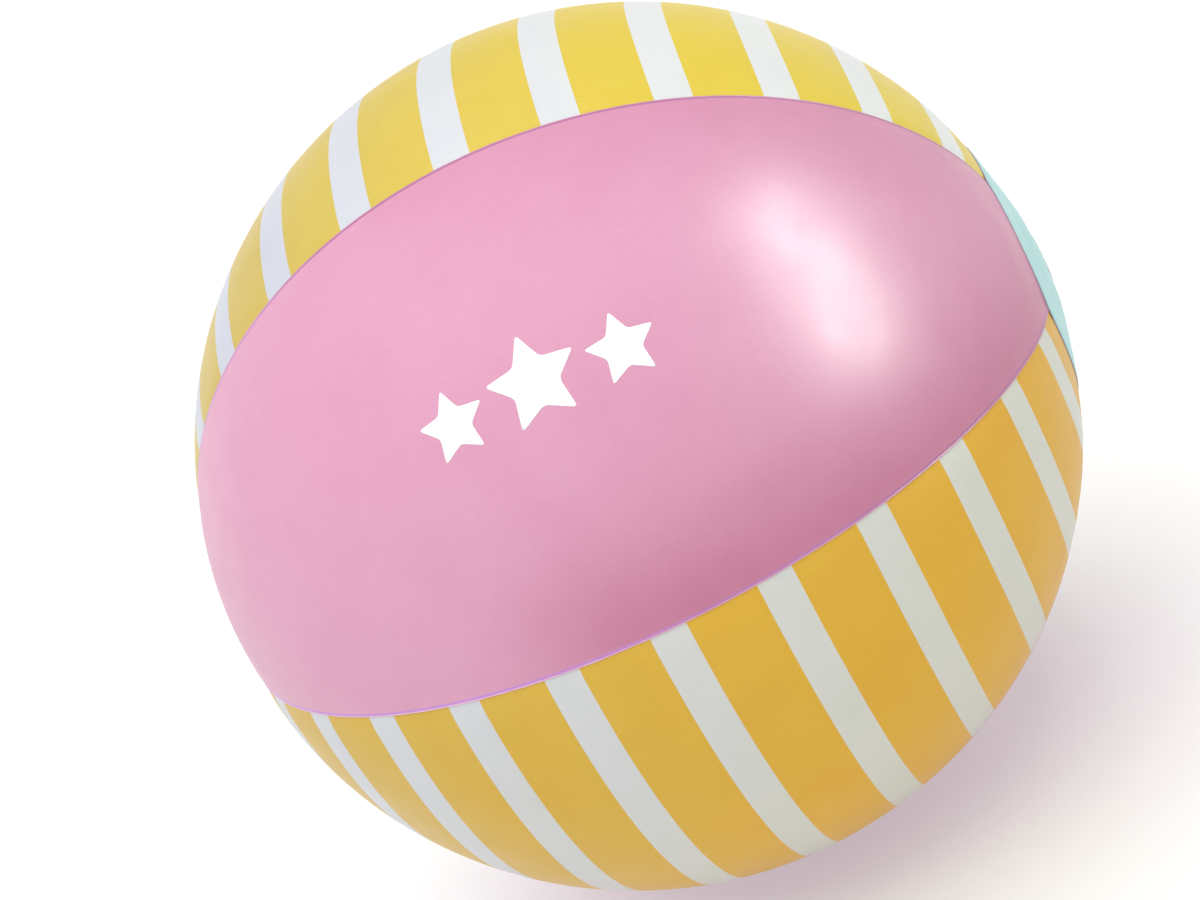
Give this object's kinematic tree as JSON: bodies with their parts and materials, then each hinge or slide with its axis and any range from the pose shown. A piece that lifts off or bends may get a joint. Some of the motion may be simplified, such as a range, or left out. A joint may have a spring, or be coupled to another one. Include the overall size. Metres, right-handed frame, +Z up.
{
  "type": "inflatable beach ball",
  "caption": "Round inflatable ball of welded film gores with an end disc at each pole and a push-in mouth valve with a strapped plug and a non-return flap.",
  "frame": {"origin": "centre of the inflated ball", "axes": "+X along the polar axis, out through the valve; +Z up; turns around the polar axis are counted from -Y, up towards +Z, and the first plain panel runs from 0 to 60 degrees"},
  "size_m": [0.3507, 0.35, 0.35],
  "materials": {
    "pink_film": "soft flexible PVC film, pink, semi-gloss",
    "yellow_film": "soft flexible PVC film, white, printed with yellow bands, semi-gloss",
    "white_print": "the white of the stripes and of the printed motif, semi-gloss",
    "mint_film": "soft flexible PVC film, mint, semi-gloss",
    "clear_moulding": "soft injection-moulded PVC, milky, glossy",
    "soft_flap": "thin soft PVC sheet, milky, satin"
  },
  "bodies": {
    "ball": {"plain_panel_1": "pink_film", "plain_panel_2": "pink_film", "plain_panel_3": "pink_film", "striped_panel_1": "yellow_film", "striped_panel_2": "yellow_film", "striped_panel_3": "yellow_film", "end_disc_valve": "mint_film", "end_disc_plain": "mint_film", "valve_flange": "clear_moulding", "valve_cuff": "clear_moulding"},
    "stem": {"valve_stem": "clear_moulding", "flap_seat": "clear_moulding", "plug_strap": "clear_moulding"},
    "plug": {"valve_plug": "clear_moulding"},
    "flap": {"check_flap": "soft_flap"}
  },
  "joints": [
    {"name": "valve_pop", "type": "slide", "parent": "ball", "child": "stem", "axis": [1, 0, 0], "range_m": [0, 0.016], "deforming": ["valve_cuff"]},
    {"name": "plug_pull", "type": "slide", "parent": "stem", "child": "plug", "axis": [1, 0, 0], "range_m": [0, 0.011], "deforming": ["plug_strap"]},
    {"name": "flap_open", "type": "hinge", "parent": "stem", "child": "flap", "pos_m": [0.15255, 0, 0.005], "axis": [0, 1, 0], "range_deg": [0, 60], "stiffness_Nm_per_rad": 0.0005}
  ]
}
